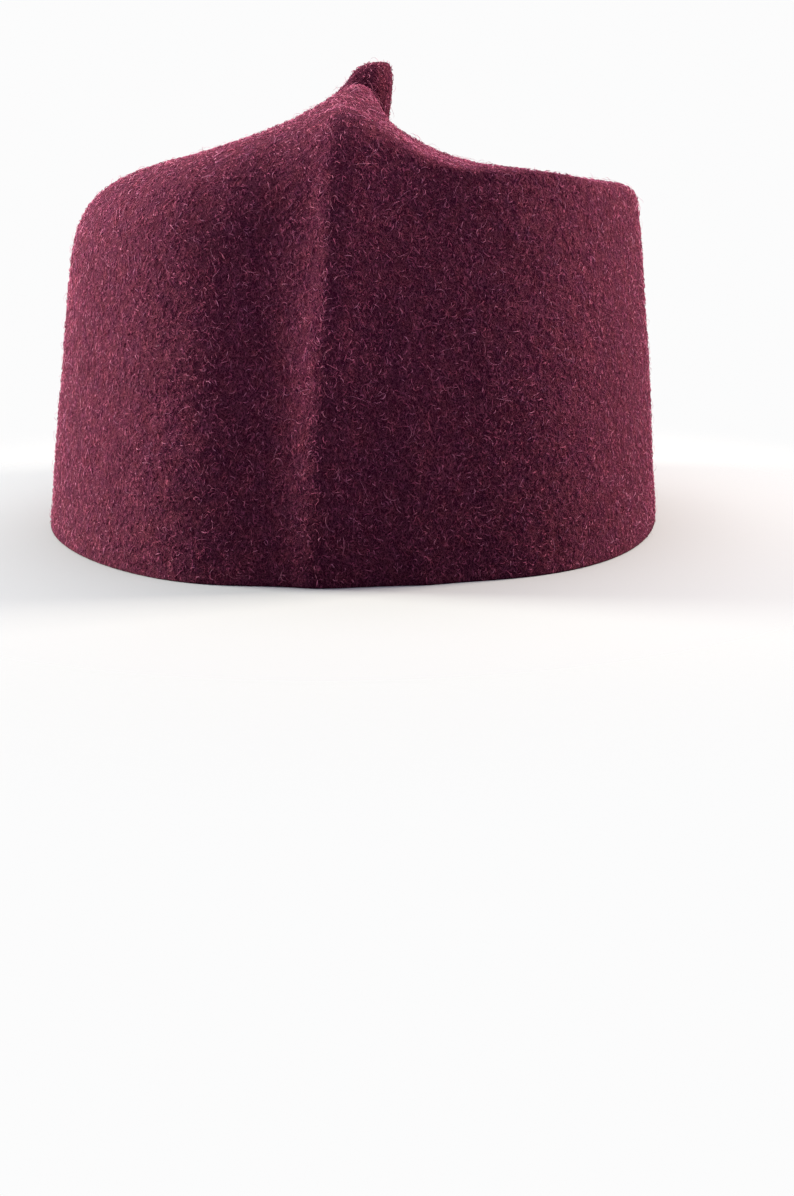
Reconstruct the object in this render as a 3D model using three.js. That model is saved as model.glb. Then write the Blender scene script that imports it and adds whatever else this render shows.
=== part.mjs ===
// A chief's cap of wool felt: one hood, blocked to a tapered wall and a tent-shaped crown that
// ends in a short stub of the same felt. Millimetres, +Z up, the rim lies on the plane z = 0,
// +X is the wearer's left seen from the front, and the front fold faces -Y.
import * as THREE from "three";

// Driving sizes of the felt and the rim
const feltThickness = 2.4;
const rimEdgeRound = 0.5;
const rimWidth = 188;
const rimDepth = 191;

// Driving sizes of the wall and the crown
const crownWidth = 165;
const crownDepth = 161;
const wallHeight = 98;
const crownRise = 25;
const shoulderRoll = 20;
const crownShift = 1.5;

// Tightest roll of the shoulder on the inside, where the felt is too thick to follow the outside's crease
const insideRoll = 1.3 * feltThickness;

// Driving sizes of the stub, which stands on the crown and leans to one side
const stubWidth = 12;
const stubDepth = 11;
const stubHeight = 8.5;
const stubX = 3.4;
const stubY = 2;
const stubLean = 4.8;
const stubFlare = 1.03;

// Height that the shares of the folds table are taken of, about that of the front fold at its strongest
const foldHeight = 5;

// The cap's sections, one for each bearing round the cap, in degrees from +X. rim and shoulder are
// shares of the ellipses of the rim and the crown, height a share of wallHeight, roll a share of
// shoulderRoll, sag how far the crown hangs below a straight slope, less than 0 where it bulges above
// one, and root a share of crownRise.
const sections = [
  { bearing: 0, rim: 0.983, shoulder: 0.973, height: 0.985, roll: 0.45, sag: 0.51, root: 0.7 },
  { bearing: -22, rim: 0.968, shoulder: 0.969, height: 0.982, roll: 0.3, sag: 0.52, root: 0.71 },
  { bearing: -42, rim: 1.008, shoulder: 0.998, height: 0.978, roll: 0.14, sag: 0.6, root: 0.76 },
  { bearing: -60, rim: 1.018, shoulder: 0.985, height: 1.006, roll: 0.07, sag: 0.58, root: 0.85 },
  { bearing: -74, rim: 0.97, shoulder: 0.95, height: 0.99, roll: 0.06, sag: 0.4, root: 0.96 },
  { bearing: -84, rim: 0.965, shoulder: 0.91, height: 1.058, roll: 0.08, sag: -0.05, root: 1.03 },
  { bearing: -94, rim: 0.975, shoulder: 0.88, height: 1.115, roll: 0.45, sag: -0.35, root: 1.02 },
  { bearing: -104, rim: 0.985, shoulder: 0.91, height: 1.08, roll: 0.95, sag: -0.2, root: 1.04 },
  { bearing: -116, rim: 1.035, shoulder: 0.97, height: 1.035, roll: 1.1, sag: 0.1, root: 1.08 },
  { bearing: -134, rim: 1.015, shoulder: 0.99, height: 1.005, roll: 1.2, sag: 0.34, root: 1.15 },
  { bearing: -156, rim: 1.0, shoulder: 0.991, height: 0.995, roll: 1.35, sag: 0.42, root: 1.13 },
  { bearing: -180, rim: 1.02, shoulder: 0.984, height: 0.99, roll: 1.4, sag: 0.43, root: 1.08 },
  { bearing: -205, rim: 1.0, shoulder: 0.99, height: 0.99, roll: 1.25, sag: 0.43, root: 1.0 },
  { bearing: -232, rim: 1.0, shoulder: 1.0, height: 0.99, roll: 1.05, sag: 0.45, root: 0.9 },
  { bearing: -260, rim: 0.99, shoulder: 0.99, height: 0.985, roll: 0.9, sag: 0.5, root: 0.85 },
  { bearing: -288, rim: 1.0, shoulder: 0.99, height: 0.985, roll: 0.75, sag: 0.5, root: 0.8 },
  { bearing: -315, rim: 1.0, shoulder: 0.99, height: 0.985, roll: 0.62, sag: 0.52, root: 0.76 },
  { bearing: -338, rim: 0.985, shoulder: 0.98, height: 0.985, roll: 0.52, sag: 0.5, root: 0.72 },
];

// Folds and dents of the wall: the front fold's narrow crest, its broad foot, the dent to the left of
// it, a soft second ridge, and the slight belly of the whole front. rimBearing and topBearing place
// each at its two ends, left and right are its half widths as shares of rimWidth, and atRim, atMiddle,
// atTop and onCrown are its heights as shares of foldHeight, less than 0 for a dent.
const folds = [
  { rimBearing: -97.2, topBearing: -94.2, left: 0.028, right: 0.045,
    atRim: 0.17, atMiddle: 0.62, atTop: 0.52, onCrown: 0.05 },
  { rimBearing: -97.6, topBearing: -94.2, left: 0.07, right: 0.11,
    atRim: 0.1, atMiddle: 0.35, atTop: 0.42, onCrown: 0.15 },
  { rimBearing: -104, topBearing: -109.5, left: 0.09, right: 0.047,
    atRim: -0.12, atMiddle: -0.54, atTop: -0.1, onCrown: 0 },
  { rimBearing: -80, topBearing: -86, left: 0.035, right: 0.04,
    atRim: 0.2, atMiddle: 0.1, atTop: 0, onCrown: 0 },
  { rimBearing: -87, topBearing: -87, left: 0.45, right: 0.44,
    atRim: -0.06, atMiddle: 0.5, atTop: 0, onCrown: 0 },
];

// Columns round the cap for each row of the sections table, and rows along each part of a profile
const columnsPerSection = 5;
const outerRows = { wall: 13, crown: 15, stub: 6 };
const innerRows = { wall: 10, crown: 11 };

// The sections table as one closed cubic spline, with u counted in rows of the table.
function sectionAt(u) {
  const count = sections.length;
  const start = Math.floor(u);
  const f = u - start;
  const weights = [
    (1 - f) ** 3 / 6,
    (3 * f ** 3 - 6 * f ** 2 + 4) / 6,
    (-3 * f ** 3 + 3 * f ** 2 + 3 * f + 1) / 6,
    f ** 3 / 6,
  ];
  const blend = { bearing: 0, rim: 0, shoulder: 0, height: 0, roll: 0, sag: 0, root: 0 };
  weights.forEach((weight, k) => {
    const index = start + k - 1;
    const turns = Math.floor(index / count);
    const row = sections[index - turns * count];
    for (const name in blend) blend[name] += weight * row[name];
    blend.bearing -= weight * 360 * turns;
  });
  return blend;
}

// The distance s past a corner, with the corner eased over the length roll on either side.
function eased(s, roll) {
  const x = Math.min(1, Math.max(-1, s / roll));
  if (s > roll) return s;
  return (roll * (3 + 8 * x + 6 * x * x - x ** 4)) / 16;
}

// The radius of an ellipse of the given width and depth in the direction of an angle.
function ellipseRadius(width, depth, angle) {
  return 1 / Math.hypot((2 * Math.cos(angle)) / width, (2 * Math.sin(angle)) / depth);
}

// How far the folds stand out at a bearing, for the share up the wall and the share in over the crown.
function foldOffset(bearing, radius, up, over) {
  let offset = 0;
  for (const fold of folds) {
    const centre = fold.rimBearing + (fold.topBearing - fold.rimBearing) * up;
    const turn = THREE.MathUtils.euclideanModulo(bearing - centre + 180, 360) - 180;
    const away = THREE.MathUtils.degToRad(turn) * radius;
    const halfWidth = (away < 0 ? fold.left : fold.right) * rimWidth;
    const middle = 4 * up * (1 - up) * (fold.atMiddle - (fold.atRim + fold.atTop) / 2);
    const wall = fold.atRim + (fold.atTop - fold.atRim) * up + middle;
    const share = wall + (fold.onCrown - fold.atTop) * Math.min(1, over * 4);
    offset += share * foldHeight * Math.exp(-((away / halfWidth) ** 2)) * (1 - over ** 3);
  }
  return offset;
}

// One profile of the cap from the rim, over the shoulder, to the root of the stub, for a list of
// places from -1 at the rim through 0 at the shoulder to 1 at the root. inset moves it inwards.
function profile(u, places, inset) {
  const section = sectionAt(u);
  const angle = THREE.MathUtils.degToRad(section.bearing);
  const rimRadius = section.rim * ellipseRadius(rimWidth, rimDepth, angle);
  const shoulderRadius = section.shoulder * ellipseRadius(crownWidth, crownDepth, angle);
  const rootRadius = stubFlare * ellipseRadius(stubWidth, stubDepth, angle);
  const height = section.height * wallHeight;
  const rootHeight = wallHeight + section.root * crownRise;
  const roll = Math.max(section.roll * shoulderRoll, inset > 0 ? insideRoll : 0);
  const wallLength = Math.hypot(height, rimRadius - shoulderRadius);
  const crownLength = shoulderRadius - rootRadius;

  const flat = (place) => {
    const s = place < 0 ? place * wallLength : place * crownLength;
    const down = eased(-s, roll) / wallLength;
    const over = eased(s, roll) / crownLength;
    const rise = (1 - section.sag) * over + section.sag * over ** 5;
    const r = shoulderRadius + (rimRadius - shoulderRadius) * down - crownLength * over;
    const z = height * (1 - down) + (rootHeight - height) * rise;
    const out = foldOffset(section.bearing, r, Math.min(1, Math.max(0, 1 - down)), over);
    return { r, z, up: 1 - down, over, out };
  };

  return places.map((place) => {
    const step = 0.004;
    const here = flat(place);
    const before = flat(Math.max(-1, place - step));
    const after = flat(Math.min(1, place + step));
    const length = Math.hypot(after.r - before.r, after.z - before.z);
    const normalR = (after.z - before.z) / length;
    const normalZ = -(after.r - before.r) / length;
    const r = here.r + (here.out - inset) * normalR;
    const z = Math.max(0, here.z + (here.out - inset) * normalZ);
    const centreX = crownShift * here.up + (stubX - crownShift) * here.over ** 1.5;
    const centreY = stubY * here.over ** 1.5;
    return new THREE.Vector3(
      centreX + r * Math.cos(angle),
      centreY + r * Math.sin(angle),
      z,
    );
  });
}

// The ring of the stub at a share of its height: it tapers to its own width, leans, and ends in a dome.
function stubPoint(u, share) {
  const section = sectionAt(u);
  const angle = THREE.MathUtils.degToRad(section.bearing);
  const top = wallHeight + crownRise + stubHeight;
  const rootHeight = wallHeight + section.root * crownRise;
  const z = rootHeight + (top - rootHeight) * Math.sin((share * Math.PI) / 2);
  const dome = Math.cos((share * Math.PI) / 2) ** 0.6;
  const flare = 1 + (stubFlare - 1) * (1 - share) ** 2;
  const r = dome * flare * ellipseRadius(stubWidth, stubDepth, angle);
  return new THREE.Vector3(
    stubX + stubLean * share + r * Math.cos(angle),
    stubY + r * Math.sin(angle),
    z,
  );
}

// Places along a profile, closer together at the shoulder and at the root of the stub.
function placesAlong(rows) {
  const places = [];
  for (let i = 0; i < rows.wall; i++) places.push(-((1 - i / rows.wall) ** 1.35));
  for (let i = 0; i <= rows.crown; i++) {
    const share = i / rows.crown;
    places.push(share - (0.6 * Math.sin(2 * Math.PI * share)) / (2 * Math.PI));
  }
  return places;
}

function feltCap() {
  const columns = sections.length * columnsPerSection;
  const outerPlaces = placesAlong(outerRows);
  const innerPlaces = placesAlong(innerRows);
  const rings = [];
  const addRing = (pointAt) => {
    const ring = [];
    for (let i = 0; i < columns; i++) ring.push(pointAt(i / columnsPerSection, i));
    rings.push(ring);
  };

  // Inside, from under the stub down to the rim
  const insides = [];
  const outsides = [];
  for (let i = 0; i < columns; i++) {
    insides.push(profile(i / columnsPerSection, innerPlaces, feltThickness));
    outsides.push(profile(i / columnsPerSection, outerPlaces, 0));
  }
  for (let k = innerPlaces.length - 1; k > 0; k--) addRing((u, i) => insides[i][k]);

  // The cut rim: a flat ring on z = 0 with both of its edges eased
  const acrossRim = (i, share, z) => {
    const point = insides[i][0].clone().lerp(outsides[i][0], share);
    return point.setZ(z);
  };
  const edge = rimEdgeRound / feltThickness;
  addRing((u, i) => acrossRim(i, 0, rimEdgeRound));
  addRing((u, i) => acrossRim(i, edge, 0));
  addRing((u, i) => acrossRim(i, 1 - edge, 0));
  addRing((u, i) => acrossRim(i, 1, rimEdgeRound));

  // Outside, from the rim up to the root of the stub, then the stub
  for (let k = 1; k < outerPlaces.length; k++) addRing((u, i) => outsides[i][k]);
  for (let k = 1; k < outerRows.stub; k++) addRing((u) => stubPoint(u, k / outerRows.stub));

  const points = rings.flat();
  const middle = (ring) => {
    const sum = new THREE.Vector3();
    ring.forEach((point) => sum.add(point));
    return sum.divideScalar(ring.length);
  };
  const inner = points.push(middle(rings[0])) - 1;
  const top = new THREE.Vector3(stubX + stubLean, stubY, wallHeight + crownRise + stubHeight);
  const outer = points.push(top) - 1;

  const faces = [];
  for (let i = 0; i < columns; i++) {
    const next = (i + 1) % columns;
    faces.push(inner, i, next);
    for (let k = 0; k + 1 < rings.length; k++) {
      const a = k * columns + i;
      const b = k * columns + next;
      const c = (k + 1) * columns + next;
      const d = (k + 1) * columns + i;
      faces.push(a, d, c, a, c, b);
    }
    const last = (rings.length - 1) * columns;
    faces.push(last + i, outer, last + next);
  }
  const geometry = new THREE.BufferGeometry();
  geometry.setFromPoints(points);
  geometry.setIndex(faces);
  geometry.computeBoundingBox();
  const centre = geometry.boundingBox.getCenter(new THREE.Vector3());
  geometry.translate(-centre.x, -centre.y, 0);
  geometry.computeVertexNormals();

  const woolFelt = new THREE.MeshStandardMaterial({
    color: new THREE.Color().setRGB(0.4, 0.14, 0.22, THREE.SRGBColorSpace),
    roughness: 0.95,
    metalness: 0,
  });
  const mesh = new THREE.Mesh(geometry, woolFelt);
  mesh.name = "felt_cap";
  return mesh;
}

const cap = new THREE.Group();
cap.add(feltCap());

export default cap;
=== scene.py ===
import math

import bpy
import numpy as np
from mathutils import Matrix, Vector


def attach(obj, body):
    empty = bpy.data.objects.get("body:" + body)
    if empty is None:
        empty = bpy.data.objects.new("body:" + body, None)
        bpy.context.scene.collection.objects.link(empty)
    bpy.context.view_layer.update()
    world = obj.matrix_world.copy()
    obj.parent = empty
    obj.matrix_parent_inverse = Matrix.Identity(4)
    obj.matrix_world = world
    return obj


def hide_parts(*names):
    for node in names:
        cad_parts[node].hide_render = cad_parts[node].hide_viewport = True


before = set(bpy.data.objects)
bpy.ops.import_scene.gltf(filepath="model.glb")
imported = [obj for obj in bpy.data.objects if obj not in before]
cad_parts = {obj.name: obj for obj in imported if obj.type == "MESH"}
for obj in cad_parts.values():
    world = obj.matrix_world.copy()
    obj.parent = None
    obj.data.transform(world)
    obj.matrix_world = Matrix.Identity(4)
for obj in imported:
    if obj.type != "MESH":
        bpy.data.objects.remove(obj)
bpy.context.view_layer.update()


# The felt cap
# One hood of thick burgundy wool felt, wetted and pulled over a block to a tapered wall and a tent-shaped
# crown. The short stub on top is the same felt, and a fold runs down the front from the stub to the rim.

MILLIMETRE = 0.001
felt_thickness = 2.4
rim_edge_round = 0.5
rim_width = 188
rim_depth = 191
crown_width = 165
crown_depth = 161
wall_height = 98
crown_rise = 25
shoulder_roll = 20
# Tightest roll of the shoulder on the inside, where the felt is too thick to follow the outside's crease
inside_roll = 1.3 * felt_thickness
crown_shift = 1.5
stub_width = 12
stub_depth = 11
stub_height = 8.5
stub_x = 3.4
stub_y = 2
stub_lean = 4.8
stub_flare = 1.03
fold_height = 5

# The cap by sections that go clockwise round it, with bearings in degrees. rim and shoulder are shares of
# the two ellipses' radii, height of wall_height, roll of shoulder_roll and root of crown_rise. sag is how
# far the crown hangs below a straight slope, less than 0 where it bulges above one.
SECTION_COLUMNS = ("bearing", "rim", "shoulder", "height", "roll", "sag", "root")
SECTIONS = np.array([
    (0, 0.983, 0.973, 0.985, 0.45, 0.51, 0.7),
    (-22, 0.968, 0.969, 0.982, 0.3, 0.52, 0.71),
    (-42, 1.008, 0.998, 0.978, 0.14, 0.6, 0.76),
    (-60, 1.018, 0.985, 1.006, 0.07, 0.58, 0.85),
    (-74, 0.97, 0.95, 0.99, 0.06, 0.4, 0.96),
    (-84, 0.965, 0.91, 1.058, 0.08, -0.05, 1.03),
    (-94, 0.975, 0.88, 1.115, 0.45, -0.35, 1.02),
    (-104, 0.985, 0.91, 1.08, 0.95, -0.2, 1.04),
    (-116, 1.035, 0.97, 1.035, 1.1, 0.1, 1.08),
    (-134, 1.015, 0.99, 1.005, 1.2, 0.34, 1.15),
    (-156, 1.0, 0.991, 0.995, 1.35, 0.42, 1.13),
    (-180, 1.02, 0.984, 0.99, 1.4, 0.43, 1.08),
    (-205, 1.0, 0.99, 0.99, 1.25, 0.43, 1.0),
    (-232, 1.0, 1.0, 0.99, 1.05, 0.45, 0.9),
    (-260, 0.99, 0.99, 0.985, 0.9, 0.5, 0.85),
    (-288, 1.0, 0.99, 0.985, 0.75, 0.5, 0.8),
    (-315, 1.0, 0.99, 0.985, 0.62, 0.52, 0.76),
    (-338, 0.985, 0.98, 0.985, 0.52, 0.5, 0.72),
])

# The front fold's narrow crest and its broad foot, the dent to the left of it, a soft second ridge, and the
# slight belly of the whole front. Bearings are in degrees, left and right are half widths as shares of
# rim_width, and the heights are shares of fold_height, less than 0 for a dent.
FOLD_COLUMNS = ("rim_bearing", "top_bearing", "left", "right", "at_rim", "at_middle", "at_top", "on_crown")
FOLDS = [
    (-97.2, -94.2, 0.028, 0.045, 0.17, 0.62, 0.52, 0.05),
    (-97.6, -94.2, 0.07, 0.11, 0.1, 0.35, 0.42, 0.15),
    (-104, -109.5, 0.09, 0.047, -0.12, -0.54, -0.1, 0),
    (-80, -86, 0.035, 0.04, 0.2, 0.1, 0, 0),
    (-87, -87, 0.45, 0.44, -0.06, 0.5, 0, 0),
]


def section_at(u):
    """The sections as one closed cubic spline: each of four neighbouring rows weighs in by the uniform
    B-spline's cubic polynomials of the fraction of u, with u counted in rows of the table."""
    count = len(SECTIONS)
    start = np.floor(u).astype(int)
    f = u - start
    weights = (
        (1 - f) ** 3 / 6,
        (3 * f**3 - 6 * f**2 + 4) / 6,
        (-3 * f**3 + 3 * f**2 + 3 * f + 1) / 6,
        f**3 / 6,
    )
    blend = 0
    for k, weight in enumerate(weights):
        index = start + k - 1
        rows = SECTIONS[index % count].copy()
        rows[:, 0] -= 360 * (index // count)
        blend = blend + weight[:, None] * rows
    return {name: blend[:, i, None] for i, name in enumerate(SECTION_COLUMNS)}


def eased(s, roll):
    """The distance s past a corner, but a quartic of s / roll between 0 and s within roll of the corner."""
    x = np.clip(s / roll, -1, 1)
    return np.where(s > roll, s, roll * (3 + 8 * x + 6 * x * x - x**4) / 16)


def ellipse_radius(width, depth, angle):
    """An ellipse's radius in a direction: 1 over the length of (cos / half width, sin / half depth)."""
    return 1 / np.hypot(2 * np.cos(angle) / width, 2 * np.sin(angle) / depth)


def fold_offset(bearing, radius, up, over):
    """The height of the folds: for each, its share of the fold's height at this level, times a bell curve
    of the distance from its line, which is narrower on one side than on the other, times 1 less the cube
    of the way over the crown."""
    crown_start = 0.25
    offset = 0
    for row in FOLDS:
        fold = dict(zip(FOLD_COLUMNS, row))
        centre = fold["rim_bearing"] + (fold["top_bearing"] - fold["rim_bearing"]) * up
        away = np.radians((bearing - centre + 180) % 360 - 180) * radius
        half_width = np.where(away < 0, fold["left"], fold["right"]) * rim_width
        bulge = 4 * up * (1 - up) * (fold["at_middle"] - (fold["at_rim"] + fold["at_top"]) / 2)
        share = fold["at_rim"] + (fold["at_top"] - fold["at_rim"]) * up + bulge
        share = share + (fold["on_crown"] - fold["at_top"]) * np.minimum(1, over / crown_start)
        offset = offset + share * fold_height * np.exp(-((away / half_width) ** 2)) * (1 - over**3)
    return offset


def cap_surface(u, places, inset):
    """Points of the wall and crown. A profile goes up a straight wall and along a crown that rises as a mix
    of a line and a fifth power, with an eased corner between them, and is turned to the section's bearing.
    The folds, less the inset, move each point along the profile's normal, and the profile's middle drifts
    to the stub's with the power 1.5 of the way over the crown."""
    section = section_at(u)
    angle = np.radians(section["bearing"])
    rim_radius = section["rim"] * ellipse_radius(rim_width, rim_depth, angle)
    shoulder_radius = section["shoulder"] * ellipse_radius(crown_width, crown_depth, angle)
    root_radius = stub_flare * ellipse_radius(stub_width, stub_depth, angle)
    height = section["height"] * wall_height
    root_height = wall_height + section["root"] * crown_rise
    roll = np.maximum(section["roll"] * shoulder_roll, inside_roll if inset > 0 else 0)
    wall_length = np.hypot(height, rim_radius - shoulder_radius)
    crown_length = shoulder_radius - root_radius

    def flat(place):
        s = np.where(place < 0, place * wall_length, place * crown_length)
        down = eased(-s, roll) / wall_length
        over = eased(s, roll) / crown_length
        rise = (1 - section["sag"]) * over + section["sag"] * over**5
        r = shoulder_radius + (rim_radius - shoulder_radius) * down - crown_length * over
        z = height * (1 - down) + (root_height - height) * rise
        return r, z, 1 - down, over

    places = np.asarray(places)[None, :]
    step = 0.004
    r, z, up, over = flat(places)
    r_before, z_before, *_ = flat(np.maximum(-1, places - step))
    r_after, z_after, *_ = flat(np.minimum(1, places + step))
    length = np.hypot(r_after - r_before, z_after - z_before)
    out = fold_offset(section["bearing"], r, np.clip(up, 0, 1), over) - inset
    r = r + out * (z_after - z_before) / length
    z = np.maximum(0, z - out * (r_after - r_before) / length)
    drift = over**1.5
    x = crown_shift * up + (stub_x - crown_shift) * drift + r * np.cos(angle)
    y = stub_y * drift + r * np.sin(angle)
    return np.stack([x, y, z], axis=-1)


def stub_surface(u, shares):
    """Points of the stub: an ellipse whose radius falls to 0 as a power of the cosine, and whose height
    rises as the sine, of a quarter turn times the share, moved sideways in proportion to the share."""
    section = section_at(u)
    angle = np.radians(section["bearing"])
    share = np.asarray(shares)[None, :]
    quarter = share * math.pi / 2
    bluntness = 0.6
    top = wall_height + crown_rise + stub_height
    root_height = wall_height + section["root"] * crown_rise
    flare = 1 + (stub_flare - 1) * (1 - share) ** 2
    r = np.cos(quarter) ** bluntness * flare * ellipse_radius(stub_width, stub_depth, angle)
    x = stub_x + stub_lean * share + r * np.cos(angle)
    y = stub_y + r * np.sin(angle)
    z = root_height + (top - root_height) * np.sin(quarter)
    return np.stack([x, y, z], axis=-1)


def places_along(wall_rows, crown_rows):
    """Places from -1 at the rim to 1 at the stub's root, closer together at the shoulder and the root: a
    power of even steps on the wall, and even steps less a part of their sine on the crown."""
    wall_power, sine_part = 1.35, 0.6
    wall = -((1 - np.arange(wall_rows) / wall_rows) ** wall_power)
    share = np.arange(crown_rows + 1) / crown_rows
    return np.concatenate([wall, share - sine_part * np.sin(2 * math.pi * share) / (2 * math.pi)])


def waves(points, wavelength, count, seed):
    """Soft unevenness about 0: twice the mean of sine waves that run in random directions in space, each
    0.7 to 1.5 wavelengths long."""
    draw = np.random.default_rng(seed)
    directions = draw.normal(size=(3, count))
    directions /= np.linalg.norm(directions, axis=0)
    lengths = wavelength * draw.uniform(0.7, 1.5, count)
    phases = draw.uniform(0, 2 * math.pi, count)
    return np.sin(points @ (directions * 2 * math.pi / lengths) + phases).mean(axis=-1) * 2


def grid_normals(rings):
    """Outward unit normals of rings that go clockwise and upwards: the cross product of the central
    difference along the rings' stack and the one around each ring."""
    around = np.roll(rings, -1, axis=1) - np.roll(rings, 1, axis=1)
    along = np.gradient(rings, axis=0)
    normals = np.cross(along, around)
    return normals / np.maximum(np.linalg.norm(normals, axis=-1, keepdims=True), 1e-12)


def rim_ring(inner, outer, turn):
    """A ring of the cut rim, which crosses the felt as turn goes from 0 to 1. The first and the last third
    of the turn go round the two eased edges, each a quarter circle."""
    edge = rim_edge_round / felt_thickness
    angle = np.clip(np.minimum(turn, 1 - turn) * 3, 0, 1) * math.pi / 2
    across = edge * (1 - math.cos(angle))
    across = across if turn < 0.5 else 1 - across
    ring = inner + (outer - inner) * across
    ring[:, 2] = rim_edge_round * (1 - math.sin(angle))
    return ring


def new_mesh(name, points, corners, sides, uv):
    """A mesh object from flat arrays: points, each face's corners in order, and its number of sides."""
    mesh = bpy.data.meshes.new(name)
    mesh.vertices.add(len(points))
    mesh.vertices.foreach_set("co", points.astype(np.float32).ravel())
    mesh.loops.add(len(corners))
    mesh.loops.foreach_set("vertex_index", corners.astype(np.int32))
    mesh.polygons.add(len(sides))
    starts = np.concatenate([[0], np.cumsum(sides)[:-1]])
    mesh.polygons.foreach_set("loop_start", starts.astype(np.int32))
    mesh.polygons.foreach_set("use_smooth", np.ones(len(sides), bool))
    layer = mesh.uv_layers.new(name="OFBake")
    layer.uv.foreach_set("vector", uv.astype(np.float32).ravel())
    mesh.update(calc_edges=True)
    mesh.validate()
    made = bpy.data.objects.new(name, mesh)
    bpy.context.scene.collection.objects.link(made)
    return made


cap_columns = 360
stub_rows = 20
rim_rows = 9
columns_at = np.arange(cap_columns) / cap_columns * len(SECTIONS)
inside_places = places_along(wall_rows=24, crown_rows=18)
outside_places = places_along(wall_rows=96, crown_rows=66)
inside = cap_surface(columns_at, inside_places, felt_thickness).transpose(1, 0, 2)
outside = cap_surface(columns_at, outside_places, 0).transpose(1, 0, 2)
stub = stub_surface(columns_at, np.arange(1, stub_rows) / stub_rows).transpose(1, 0, 2)
stub_tip = np.array([stub_x + stub_lean, stub_y, wall_height + crown_rise + stub_height])

rim = np.stack([rim_ring(inside[0], outside[0], turn) for turn in np.linspace(0, 1, rim_rows)])
skin = np.concatenate([outside[1:], stub])
box_centre = (outside.min(axis=(0, 1)) + outside.max(axis=(0, 1))) / 2 * (1, 1, 0)

# What blocking by hand leaves uneven, as height, wavelength, number of waves and seed. It fades to none at
# the cut rim over the height of the even edge.
UNEVENNESS = ((0.3, 34, 24, 1), (0.16, 11, 32, 2), (0.05, 4, 40, 3))
even_edge = 6
hand_made = sum(height * waves(skin, *kind) for height, *kind in UNEVENNESS)
above_rim = np.clip(skin[..., 2] / even_edge, 0, 1)
skin = skin + grid_normals(skin) * (hand_made * above_rim)[..., None]

rings = np.concatenate([inside[:0:-1], rim, skin]) - box_centre
ring_count = len(rings)
pole_in = rings[0].mean(axis=0)
pole_out = stub_tip - box_centre
cap_points = np.concatenate([rings.reshape(-1, 3), pole_in[None], pole_out[None]]) * MILLIMETRE

index = np.arange(ring_count * cap_columns).reshape(ring_count, cap_columns)
beside = np.roll(index, -1, axis=1)
quads = np.stack([index[:-1], index[1:], beside[1:], beside[:-1]], axis=-1).reshape(-1, 4)
ceiling = np.stack([np.full(cap_columns, index.size), index[0], beside[0]], axis=-1)
tip = np.stack([index[-1], np.full(cap_columns, index.size + 1), beside[-1]], axis=-1)

lengths_along = np.linalg.norm(np.diff(rings.mean(axis=1), axis=0), axis=-1)
radii = np.linalg.norm(rings - rings.mean(axis=1, keepdims=True), axis=-1).mean(axis=1)
along = np.concatenate([[0], np.cumsum(np.hypot(lengths_along, np.diff(radii)))])
pole_margin = 0.01
along = pole_margin + (1 - 2 * pole_margin) * along / along[-1]
across = np.arange(cap_columns + 1) / cap_columns
left, low_v = np.meshgrid(across[:-1], along[:-1])
right, high_v = np.meshgrid(across[1:], along[1:])
quad_uv = np.stack([
    np.stack([left, low_v], -1),
    np.stack([left, high_v], -1),
    np.stack([right, high_v], -1),
    np.stack([right, low_v], -1),
], axis=2).reshape(-1, 2)
middle_u = (across[:-1] + across[1:]) / 2
ceiling_uv = np.stack([
    np.stack([middle_u, np.zeros(cap_columns)], -1),
    np.stack([across[:-1], np.full(cap_columns, along[0])], -1),
    np.stack([across[1:], np.full(cap_columns, along[0])], -1),
], axis=1).reshape(-1, 2)
tip_uv = np.stack([
    np.stack([across[:-1], np.full(cap_columns, along[-1])], -1),
    np.stack([middle_u, np.ones(cap_columns)], -1),
    np.stack([across[1:], np.full(cap_columns, along[-1])], -1),
], axis=1).reshape(-1, 2)

felt_cap = new_mesh(
    "wool_hood",
    cap_points,
    np.concatenate([quads.ravel(), ceiling.ravel(), tip.ravel()]),
    np.concatenate([np.full(len(quads), 4), np.full(2 * cap_columns, 3)]),
    np.concatenate([quad_uv, ceiling_uv, tip_uv]),
)


def set_inputs(node, **values):
    """Sets the values of a node's sockets, with an underscore for each space in a socket's name."""
    for name, value in values.items():
        node.inputs[name.replace("_", " ")].default_value = value
    return node


def math_node(nodes, operation, second=None, third=None):
    """A Math node, with the values of its second and third sockets where they are fixed."""
    node = nodes.new("ShaderNodeMath")
    node.operation = operation
    for socket, value in ((1, second), (2, third)):
        if value is not None:
            node.inputs[socket].default_value = value
    return node


# The colour sockets of a Mix node, whose other sockets have the same names
MIX_A, MIX_B, MIX_RESULT = 6, 7, 2


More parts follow.
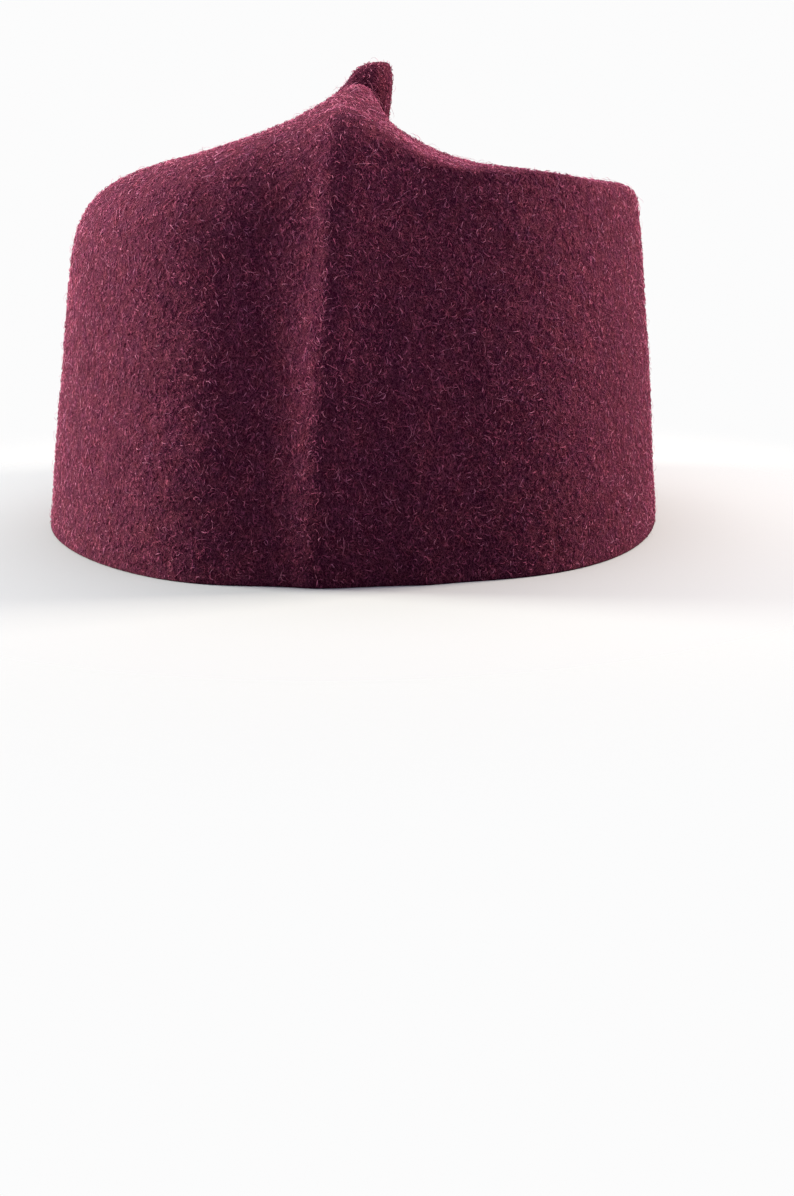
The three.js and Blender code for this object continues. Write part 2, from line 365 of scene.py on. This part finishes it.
def wool_colour_group():
    """The dyed wool's colour: three tones of burgundy, from deep through fair to pale along Strand, made
    lighter or darker in patches about a finger wide and in flecks of a few millimetres, which also turn
    it a little redder or bluer."""
    group = bpy.data.node_groups.new("wool_colour", "ShaderNodeTree")
    for name in ("Deep", "Fair", "Pale"):
        group.interface.new_socket(name, in_out="INPUT", socket_type="NodeSocketColor")
    group.interface.new_socket("Strand", in_out="INPUT", socket_type="NodeSocketFloat")
    group.interface.new_socket("Patchiness", in_out="INPUT", socket_type="NodeSocketFloat")
    group.interface.new_socket("Colour", in_out="OUTPUT", socket_type="NodeSocketColor")
    nodes, links = group.nodes, group.links
    given = nodes.new("NodeGroupInput")
    result = nodes.new("NodeGroupOutput")
    place = nodes.new("ShaderNodeTexCoord")

    lower = nodes.new("ShaderNodeMapRange")
    set_inputs(lower, From_Min=0.0, From_Max=0.5)
    upper = nodes.new("ShaderNodeMapRange")
    set_inputs(upper, From_Min=0.5, From_Max=1.0)
    to_fair = nodes.new("ShaderNodeMix")
    to_pale = nodes.new("ShaderNodeMix")
    for mix in (to_fair, to_pale):
        mix.data_type = "RGBA"
    links.new(given.outputs["Strand"], lower.inputs["Value"])
    links.new(given.outputs["Strand"], upper.inputs["Value"])
    links.new(lower.outputs["Result"], to_fair.inputs[0])
    links.new(upper.outputs["Result"], to_pale.inputs[0])
    links.new(given.outputs["Deep"], to_fair.inputs[MIX_A])
    links.new(given.outputs["Fair"], to_fair.inputs[MIX_B])
    links.new(to_fair.outputs[MIX_RESULT], to_pale.inputs[MIX_A])
    links.new(given.outputs["Pale"], to_pale.inputs[MIX_B])

    patches = set_inputs(nodes.new("ShaderNodeTexNoise"), Scale=70.0, Detail=3.0, Roughness=0.6)
    flecks = set_inputs(nodes.new("ShaderNodeTexNoise"), Scale=260.0, Detail=2.0, Roughness=0.5)
    links.new(place.outputs["Object"], patches.inputs["Vector"])
    links.new(place.outputs["Object"], flecks.inputs["Vector"])
    both = math_node(nodes, "ADD")
    links.new(patches.outputs["Fac"], both.inputs[0])
    links.new(flecks.outputs["Fac"], both.inputs[1])
    centred = math_node(nodes, "SUBTRACT", 1.0)
    links.new(both.outputs[0], centred.inputs[0])
    weighed = math_node(nodes, "MULTIPLY_ADD", third=1.0)
    links.new(centred.outputs[0], weighed.inputs[0])
    links.new(given.outputs["Patchiness"], weighed.inputs[1])
    hue_shift = nodes.new("ShaderNodeMapRange")
    set_inputs(hue_shift, From_Min=0.3, From_Max=0.7, To_Min=0.492, To_Max=0.51)
    links.new(flecks.outputs["Fac"], hue_shift.inputs["Value"])
    shade = nodes.new("ShaderNodeHueSaturation")
    links.new(hue_shift.outputs["Result"], shade.inputs["Hue"])
    links.new(weighed.outputs[0], shade.inputs["Value"])
    links.new(to_pale.outputs[MIX_RESULT], shade.inputs["Color"])
    links.new(shade.outputs["Color"], result.inputs["Colour"])
    return group


def curled_lines_group():
    """Curled strands pressed into the felt: the lines where a noise, bent by its own distortion, crosses
    its middle value. Two such noises at different scales are laid over each other."""
    group = bpy.data.node_groups.new("curled_lines", "ShaderNodeTree")
    group.interface.new_socket("Scale", in_out="INPUT", socket_type="NodeSocketFloat")
    group.interface.new_socket("Line Width", in_out="INPUT", socket_type="NodeSocketFloat")
    group.interface.new_socket("Lines", in_out="OUTPUT", socket_type="NodeSocketFloat")
    nodes, links = group.nodes, group.links
    given = nodes.new("NodeGroupInput")
    result = nodes.new("NodeGroupOutput")
    place = nodes.new("ShaderNodeTexCoord")
    found = []
    for factor, stretch in ((1.0, (1.0, 1.0, 0.62)), (1.7, (1.0, 1.0, 0.8))):
        laid = set_inputs(nodes.new("ShaderNodeMapping"), Scale=stretch, Rotation=(0.0, 0.0, factor))
        scaled = math_node(nodes, "MULTIPLY", factor)
        noise = set_inputs(nodes.new("ShaderNodeTexNoise"), Detail=1.5, Roughness=0.45, Distortion=1.6)
        links.new(place.outputs["Object"], laid.inputs["Vector"])
        links.new(given.outputs["Scale"], scaled.inputs[0])
        links.new(scaled.outputs[0], noise.inputs["Scale"])
        links.new(laid.outputs["Vector"], noise.inputs["Vector"])
        centred = math_node(nodes, "SUBTRACT", 0.5)
        distance = math_node(nodes, "ABSOLUTE")
        line = nodes.new("ShaderNodeMapRange")
        line.interpolation_type = "SMOOTHSTEP"
        set_inputs(line, From_Min=0.0, To_Min=1.0, To_Max=0.0)
        links.new(noise.outputs["Fac"], centred.inputs[0])
        links.new(centred.outputs[0], distance.inputs[0])
        links.new(distance.outputs[0], line.inputs["Value"])
        links.new(given.outputs["Line Width"], line.inputs["From Max"])
        found.append(line)
    over = math_node(nodes, "MAXIMUM")
    links.new(found[0].outputs["Result"], over.inputs[0])
    links.new(found[1].outputs["Result"], over.inputs[1])
    links.new(over.outputs[0], result.inputs["Lines"])
    return group


wool_colour = wool_colour_group()
curled_lines = curled_lines_group()


def matt_wool(name, sheen_colour):
    """A material with the wool's uniform finish: fully rough, almost no gloss, and a soft sheen."""
    material = bpy.data.materials.new(name)
    material.use_nodes = True
    surface = material.node_tree.nodes["Principled BSDF"]
    set_inputs(surface, Roughness=1.0, Specular_IOR_Level=0.02)
    set_inputs(surface, Sheen_Weight=0.2, Sheen_Roughness=0.42, Sheen_Tint=sheen_colour)
    return material, surface


def hood_felt():
    """The hood's felt: deep wool with paler curled strands pressed into it, which also stand out of it."""
    material, surface = matt_wool("pressed_wool_felt", (0.7, 0.2, 0.3, 1))
    nodes, links = material.node_tree.nodes, material.node_tree.links
    pressed = nodes.new("ShaderNodeGroup")
    pressed.node_tree = curled_lines
    set_inputs(pressed, Scale=620.0, Line_Width=0.05)
    colour = nodes.new("ShaderNodeGroup")
    colour.node_tree = wool_colour
    set_inputs(
        colour,
        Deep=(0.047, 0.0048, 0.0165, 1),
        Fair=(0.20, 0.034, 0.069, 1),
        Pale=(0.37, 0.092, 0.16, 1),
        Patchiness=0.55,
    )
    toned = math_node(nodes, "MULTIPLY", 0.62)
    links.new(pressed.outputs["Lines"], toned.inputs[0])
    links.new(toned.outputs[0], colour.inputs["Strand"])
    links.new(colour.outputs["Colour"], surface.inputs["Base Color"])
    place = nodes.new("ShaderNodeTexCoord")
    clumps = set_inputs(nodes.new("ShaderNodeTexNoise"), Scale=380.0, Detail=3.5, Roughness=0.62)
    links.new(place.outputs["Object"], clumps.inputs["Vector"])
    height = math_node(nodes, "MULTIPLY_ADD", 0.55)
    links.new(pressed.outputs["Lines"], height.inputs[0])
    links.new(clumps.outputs["Fac"], height.inputs[2])
    bump = set_inputs(nodes.new("ShaderNodeBump"), Strength=1.0, Distance=0.0014)
    links.new(height.outputs[0], bump.inputs["Height"])
    links.new(bump.outputs["Normal"], surface.inputs["Normal"])
    return material


felt_cap.data.materials.append(hood_felt())
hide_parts("felt_cap")
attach(felt_cap, "root")


# The nap
# The felt's outside is brushed, so short curled fibres of the same wool lie over it in every direction, a
# little more often up and down the wall. They are laid as thin closed strands, rooted just under the skin.

outer_rings = rings[-len(skin):] * MILLIMETRE
outer_normals = grid_normals(outer_rings)


def roots_on_skin(count, draw):
    """Random roots, alike in number over equal areas: a quad is drawn by the area of its two sides, and a
    place in it evenly. Returns the points, their normals, and the directions round and up the cap."""
    around = np.roll(outer_rings, -1, axis=1) - outer_rings
    upward = outer_rings[1:] - outer_rings[:-1]
    areas = np.linalg.norm(np.cross(around[:-1], upward), axis=-1)
    chosen = draw.choice(areas.size, count, p=areas.ravel() / areas.sum())
    row, column = np.divmod(chosen, cap_columns)
    following = (column + 1) % cap_columns
    a = draw.uniform(0, 1, (count, 1))
    b = draw.uniform(0, 1, (count, 1))

    def between(values):
        low = values[row, column] * (1 - a) + values[row, following] * a
        high = values[row + 1, column] * (1 - a) + values[row + 1, following] * a
        return low * (1 - b) + high * b

    normal = between(outer_normals)
    normal /= np.linalg.norm(normal, axis=-1, keepdims=True)
    up = upward[row, column]
    up = up - normal * (up * normal).sum(axis=-1, keepdims=True)
    up /= np.linalg.norm(up, axis=-1, keepdims=True)
    return between(outer_rings), normal, np.cross(up, normal), up


def strands(name, roots, length, heading, turn, lift, thickness, tone, steps):
    """Closed tapered strands. A strand's middle line walks equal steps over the skin while its heading
    turns evenly, and its height follows a half sine from a root under the skin. Each ring is a triangle
    that shrinks towards the tip, which is one point."""
    root_depth = 0.0001
    line_over_floor, ring_over_floor = 0.0003, 0.0002
    arc_part, taper = 0.8, 0.65
    point, normal, side, up = roots
    count = len(point)
    t = np.arange(steps + 1) / steps
    headings = heading[:, None] + turn[:, None] * (t - 0.5)
    paces = (
        np.sin(headings)[..., None] * side[:, None] + np.cos(headings)[..., None] * up[:, None]
    ) * (length / steps)[:, None, None]
    walked = np.cumsum(paces, axis=1) - paces
    rise = lift[:, None] * np.sin(t * math.pi * arc_part) - root_depth
    line = point[:, None] + walked + normal[:, None] * rise[..., None]
    line[..., 2] = np.maximum(line[..., 2], line_over_floor)
    forward = np.gradient(line, axis=1)
    forward /= np.linalg.norm(forward, axis=-1, keepdims=True)
    first = normal[:, None] - forward * (forward * normal[:, None]).sum(axis=-1, keepdims=True)
    first /= np.linalg.norm(first, axis=-1, keepdims=True)
    second = np.cross(forward, first)
    corner = np.arange(3) * 2 * math.pi / 3
    radius = thickness[:, None] / 2 * (1 - taper * t[:-1] ** 2)
    ring = first[:, :-1, None] * np.cos(corner)[:, None] + second[:, :-1, None] * np.sin(corner)[:, None]
    ring = line[:, :-1, None] + ring * radius[..., None, None]
    ring[..., 2] = np.maximum(ring[..., 2], ring_over_floor)
    points = np.concatenate([ring.reshape(count, -1, 3), line[:, -1:]], axis=1)

    k = np.arange(steps - 1)[:, None] * 3
    j = np.arange(3)[None, :]
    following = (j + 1) % 3
    sides = np.stack([k + j, k + following, k + 3 + following, k + 3 + j], axis=-1).reshape(-1)
    last = (steps - 1) * 3
    ends = np.array([[last + i, last + (i + 1) % 3, last + 3] for i in range(3)] + [[0, 2, 1]]).ravel()
    pattern = np.concatenate([sides, ends])
    corners = (np.arange(count)[:, None] * (last + 4) + pattern).ravel()
    numbers = np.tile(np.concatenate([np.full((steps - 1) * 3, 4), np.full(4, 3)]), count)

    # Each strand has a square cell of the UV map: its sides below, its tip's faces and its root's above
    sides_top, tip_top, root_low, cell_margin = 0.8, 0.9, 0.92, 0.05
    left, right, low, high = np.broadcast_arrays(
        j / 3, (j + 1) / 3, k / last * sides_top, (k + 3) / last * sides_top
    )
    quad_places = np.stack([
        np.stack([left, low], -1),
        np.stack([right, low], -1),
        np.stack([right, high], -1),
        np.stack([left, high], -1),
    ], axis=2).reshape(-1, 2)
    tip_places = [
        place
        for i in range(3)
        for place in ((i / 3, sides_top), ((i + 1) / 3, sides_top), ((i + 0.5) / 3, tip_top))
    ]
    root_places = [(0.1, root_low), (0.9, root_low), (0.5, 1.0)]
    cells = math.ceil(math.sqrt(count))
    cell = np.stack([np.arange(count) % cells, np.arange(count) // cells], axis=-1)
    local = np.concatenate([quad_places, tip_places, root_places]) * (1 - 2 * cell_margin) + cell_margin
    uv = (cell[:, None] + local) / cells

    made = new_mesh(name, points.reshape(-1, 3), corners, numbers, uv.reshape(-1, 2))
    layer = made.data.attributes.new("tone", "FLOAT", "POINT")
    layer.data.foreach_set("value", np.repeat(tone, last + 4).astype(np.float32))
    return made


def strand_wool():
    """The loose fibres' wool: the felt's own dye, from deep to pale by each fibre's tone."""
    material, surface = matt_wool("brushed_wool", (0.75, 0.25, 0.36, 1))
    nodes, links = material.node_tree.nodes, material.node_tree.links
    tone = nodes.new("ShaderNodeAttribute")
    tone.attribute_name = "tone"
    colour = nodes.new("ShaderNodeGroup")
    colour.node_tree = wool_colour
    set_inputs(
        colour,
        Deep=(0.085, 0.0105, 0.029, 1),
        Fair=(0.315, 0.058, 0.116, 1),
        Pale=(0.58, 0.2, 0.305, 1),
        Patchiness=0.4,
    )
    links.new(tone.outputs["Fac"], colour.inputs["Strand"])
    links.new(colour.outputs["Colour"], surface.inputs["Base Color"])
    return material


brushed_wool = strand_wool()
full_turn = 2 * math.pi


def lay_nap(name, count, steps, shortest, longest, most_turn, height, thickness, seed):
    """One piece of the nap: strands at random roots, of random length, heading, curl, height and tone. The
    upright share of them runs up or down the wall, give or take the sway, and the rest run anywhere."""
    upright_share, sway = 0.45, 0.5
    draw = np.random.default_rng(seed)
    heading = np.where(
        draw.uniform(size=count) < upright_share,
        draw.choice([0, math.pi], count) + draw.normal(0, sway, count),
        draw.uniform(0, full_turn, count),
    )
    piece = strands(
        name,
        roots_on_skin(count, draw),
        length=draw.uniform(shortest, longest, count),
        heading=heading,
        turn=draw.uniform(-most_turn, most_turn, count),
        lift=height * draw.uniform(0.4, 1.3, count),
        thickness=thickness * draw.uniform(0.7, 1.3, count),
        tone=draw.beta(1.6, 2.4, count),
        steps=steps,
    )
    piece.data.materials.append(brushed_wool)
    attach(piece, "root")


short = dict(steps=2, shortest=0.0007, longest=0.0015, most_turn=1.3, height=0.00028, thickness=0.00018)
curled = dict(steps=3, shortest=0.0011, longest=0.0024, most_turn=3.2, height=0.00042, thickness=0.00021)
lay_nap("short_nap_1", 19500, seed=11, **short)
lay_nap("short_nap_2", 19500, seed=12, **short)
lay_nap("curled_nap_1", 12000, seed=13, **curled)
lay_nap("curled_nap_2", 12000, seed=14, **curled)


# Stray hairs
# Here and there a longer, paler fibre has worked loose and stands off the felt, which blurs its outline
# against a light ground. They are single hairs of the same wool.

stray_count = 1500
stray_draw = np.random.default_rng(21)
stray_hairs = strands(
    "stray_hairs",
    roots_on_skin(stray_count, stray_draw),
    length=stray_draw.uniform(0.0022, 0.0055, stray_count),
    heading=stray_draw.uniform(0, full_turn, stray_count),
    turn=stray_draw.uniform(-3.2, 3.2, stray_count),
    lift=stray_draw.uniform(0.0005, 0.0014, stray_count),
    thickness=stray_draw.uniform(0.00006, 0.0001, stray_count),
    tone=stray_draw.uniform(0.5, 1.0, stray_count),
    steps=6,
)
stray_hairs.data.materials.append(brushed_wool)
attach(stray_hairs, "root")


# The studio
# The cap stands on a pale floor that fades into an even pale ground. A soft lamp stands at each side, a
# little behind the cap's middle, and a wide weak one hangs over it, so the front lies in its own soft shade.


def pale_floor():
    """A flat ring, open under the cap's hollow, that fades into the ground with distance from its middle.
    It gives back less light to the cap than the camera sees, as a paper with dark cards beside it does,
    and isn't seen from below."""
    opening, reach, sides = 0.08, 0.9, 96
    fade_start, fade_end = 0.088, 0.23
    towards_cap = (0.03, 0.03, 0.03, 1)
    towards_camera = (0.36, 0.325, 0.345, 1)
    turns = np.arange(sides) / sides * full_turn
    circle = np.stack([np.cos(turns), np.sin(turns), 0 * turns], axis=-1)
    inner = np.arange(sides)
    following = np.roll(inner, -1)
    faces = np.stack([inner, inner + sides, following + sides, following], axis=-1)
    mesh = bpy.data.meshes.new("pale_floor")
    mesh.from_pydata(np.concatenate([circle * opening, circle * reach]).tolist(), [], faces.tolist())
    floor = bpy.data.objects.new("pale_floor", mesh)
    bpy.context.scene.collection.objects.link(floor)
    material = bpy.data.materials.new("pale_paper")
    material.use_nodes = True
    nodes, links = material.node_tree.nodes, material.node_tree.links
    surface = nodes["Principled BSDF"]
    set_inputs(surface, Roughness=0.9, Specular_IOR_Level=0.1)
    path = nodes.new("ShaderNodeLightPath")
    given_back = nodes.new("ShaderNodeMix")
    given_back.data_type = "RGBA"
    given_back.inputs[MIX_A].default_value = towards_cap
    given_back.inputs[MIX_B].default_value = towards_camera
    links.new(path.outputs["Is Camera Ray"], given_back.inputs[0])
    links.new(given_back.outputs[MIX_RESULT], surface.inputs["Base Color"])
    place = nodes.new("ShaderNodeTexCoord")
    distance = nodes.new("ShaderNodeVectorMath")
    distance.operation = "LENGTH"
    fade = nodes.new("ShaderNodeMapRange")
    fade.interpolation_type = "SMOOTHSTEP"
    set_inputs(fade, From_Min=fade_start, From_Max=fade_end, To_Min=1.0, To_Max=0.0)
    links.new(place.outputs["Object"], distance.inputs[0])
    links.new(distance.outputs["Value"], fade.inputs["Value"])
    side = nodes.new("ShaderNodeNewGeometry")
    from_above = math_node(nodes, "SUBTRACT")
    from_above.use_clamp = True
    links.new(fade.outputs["Result"], from_above.inputs[0])
    links.new(side.outputs["Backfacing"], from_above.inputs[1])
    links.new(from_above.outputs[0], surface.inputs["Alpha"])
    mesh.materials.append(material)


def pale_ground():
    """The world: an even pale colour where the camera sees it, and a bluish light all round the cap."""
    world = bpy.data.worlds.new("pale_ground")
    world.use_nodes = True
    nodes, links = world.node_tree.nodes, world.node_tree.links
    seen = nodes["Background"]
    set_inputs(seen, Color=(0.972, 0.972, 0.974, 1))
    light = nodes.new("ShaderNodeBackground")
    set_inputs(light, Color=(0.5, 0.51, 0.67, 1), Strength=1.06)
    path = nodes.new("ShaderNodeLightPath")
    either = nodes.new("ShaderNodeMixShader")
    links.new(path.outputs["Is Camera Ray"], either.inputs[0])
    links.new(light.outputs[0], either.inputs[1])
    links.new(seen.outputs[0], either.inputs[2])
    links.new(either.outputs[0], nodes["World Output"].inputs["Surface"])
    bpy.context.scene.world = world


def soft_lamp(name, place, size, watts, colour):
    """A rectangular area lamp that faces the cap's middle, a little over half way up its wall."""
    lamp = bpy.data.lights.new(name, "AREA")
    lamp.shape = "RECTANGLE"
    lamp.size, lamp.size_y = size
    lamp.energy = watts
    lamp.color = colour
    made = bpy.data.objects.new(name, lamp)
    bpy.context.scene.collection.objects.link(made)
    aimed_at = 0.6
    middle = Vector((0, 0, wall_height * MILLIMETRE * aimed_at))
    made.location = place
    made.rotation_euler = (middle - Vector(place)).to_track_quat("-Z", "Y").to_euler()


pale_floor()
pale_ground()
soft_lamp("left_lamp", (-0.93, 0.16, 0.25), (0.25, 0.5), 33, (1.0, 1.16, 0.96))
soft_lamp("right_lamp", (0.6, 0.07, 0.38), (0.2, 0.3), 10.2, (1.0, 1.02, 0.82))
soft_lamp("top_lamp", (0.0, 0.1, 0.95), (0.7, 0.7), 6.8, (1.0, 1.1, 1.05))
bpy.context.scene.view_settings.view_transform = "Standard"


# The camera
# It stands where the photograph was taken from: in front, a little lower than the cap's shoulder, looking
# down and slightly to the right. The focal length is that of the photograph's own perspective.


def photo_camera():
    """Aims by pitch, yaw and roll: forward from the two first, and right and up turned about it by roll."""
    photo_height = 1196
    focal_pixels = 1240
    standpoint = (0, -0.387, 0.082)
    pitch, yaw, roll = np.radians((16.1, 1.93, -0.25))
    camera = bpy.data.cameras.new("camera")
    camera.sensor_width = 36
    camera.lens = camera.sensor_width * focal_pixels / photo_height
    made = bpy.data.objects.new("camera", camera)
    bpy.context.scene.collection.objects.link(made)
    forward = Vector((math.sin(yaw) * math.cos(pitch), math.cos(yaw) * math.cos(pitch), -math.sin(pitch)))
    level = forward.cross(Vector((0, 0, 1))).normalized()
    upright = level.cross(forward)
    right_hand = level * math.cos(roll) + upright * math.sin(roll)
    overhead = upright * math.cos(roll) - level * math.sin(roll)
    turned = Matrix((right_hand, overhead, -forward)).transposed().to_4x4()
    made.matrix_world = Matrix.Translation(standpoint) @ turned
    bpy.context.scene.camera = made


photo_camera()
